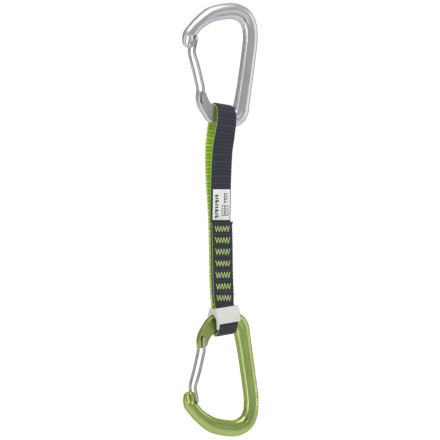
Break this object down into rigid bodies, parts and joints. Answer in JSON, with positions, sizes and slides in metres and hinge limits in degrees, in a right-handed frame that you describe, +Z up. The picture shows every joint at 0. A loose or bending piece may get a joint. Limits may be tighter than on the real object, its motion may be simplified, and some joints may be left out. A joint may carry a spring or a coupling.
{
  "type": "climbing quickdraw",
  "caption": "Wire-gate carabiners at the ends of a flat sewn webbing sling with bar tacks, a label tag and a rubber keeper; links a climbing rope to a bolt hanger.",
  "frame": {"origin": "the seat at the top of the upper carabiner's eye, where it hangs on a bolt hanger", "axes": "+Z up along the sling, carabiners flat in the XZ plane with their gates towards -X, label and front of the webbing towards -Y"},
  "size_m": [0.065, 0.0218, 0.3398],
  "materials": {
    "silver_anodised": "satin clear anodised",
    "green_anodised": "satin green anodised",
    "gate_steel": "drawn stainless wire",
    "webbing": "woven, dark navy outer face, lime green inner face and edges",
    "label": "satin woven tag",
    "keeper_rubber": "moulded matt",
    "thread": "sewing thread"
  },
  "bodies": {
    "upper_carabiner": {"top_carabiner_body": "silver_anodised"},
    "upper_gate": {"top_gate_wire": "gate_steel"},
    "sling_top": {"sling_upper_loop": "webbing"},
    "sling_sewn": {"sling_lower_strip": "webbing", "sling_inner_tail": "webbing", "label_tag": "label", "keeper": "keeper_rubber", "bar_tack_front_1": "thread", "bar_tack_front_2": "thread", "bar_tack_front_3": "thread", "bar_tack_front_4": "thread", "bar_tack_front_5": "thread", "bar_tack_front_6": "thread", "bar_tack_front_7": "thread", "bar_tack_back_1": "thread", "bar_tack_back_2": "thread", "bar_tack_back_3": "thread", "bar_tack_back_4": "thread", "bar_tack_back_5": "thread", "bar_tack_back_6": "thread", "bar_tack_back_7": "thread"},
    "lower_carabiner": {"bottom_carabiner_body": "green_anodised"},
    "lower_gate": {"bottom_gate_wire": "gate_steel"}
  },
  "joints": [
    {"name": "upper_gate_hinge", "type": "hinge", "parent": "upper_carabiner", "child": "upper_gate", "pos_m": [-0.0257, 0, -0.065], "axis": [0, 1, 0], "range_deg": [0, 30], "stiffness_Nm_per_rad": 0.42, "springref_deg": -18.91},
    {"name": "sling_swing", "type": "hinge", "parent": "upper_carabiner", "child": "sling_top", "pos_m": [-0.0063, 0, -0.07676], "axis": [0.9912, 0, -0.1323], "range_deg": [-45, 45]},
    {"name": "sling_twist", "type": "hinge", "parent": "sling_top", "child": "sling_sewn", "pos_m": [-0.0063, 0, -0.12], "axis": [0, 0, 1], "range_deg": [-90, 90]},
    {"name": "lower_carabiner_swing", "type": "hinge", "parent": "sling_sewn", "child": "lower_carabiner", "pos_m": [-0.0063, 0, -0.23724], "axis": [0.9912, 0, 0.1323], "range_deg": [-30, 30]},
    {"name": "lower_gate_hinge", "type": "hinge", "parent": "lower_carabiner", "child": "lower_gate", "pos_m": [-0.0257, 0, -0.249], "axis": [0, -1, 0], "range_deg": [0, 30], "stiffness_Nm_per_rad": 0.42, "springref_deg": -18.91}
  ]
}
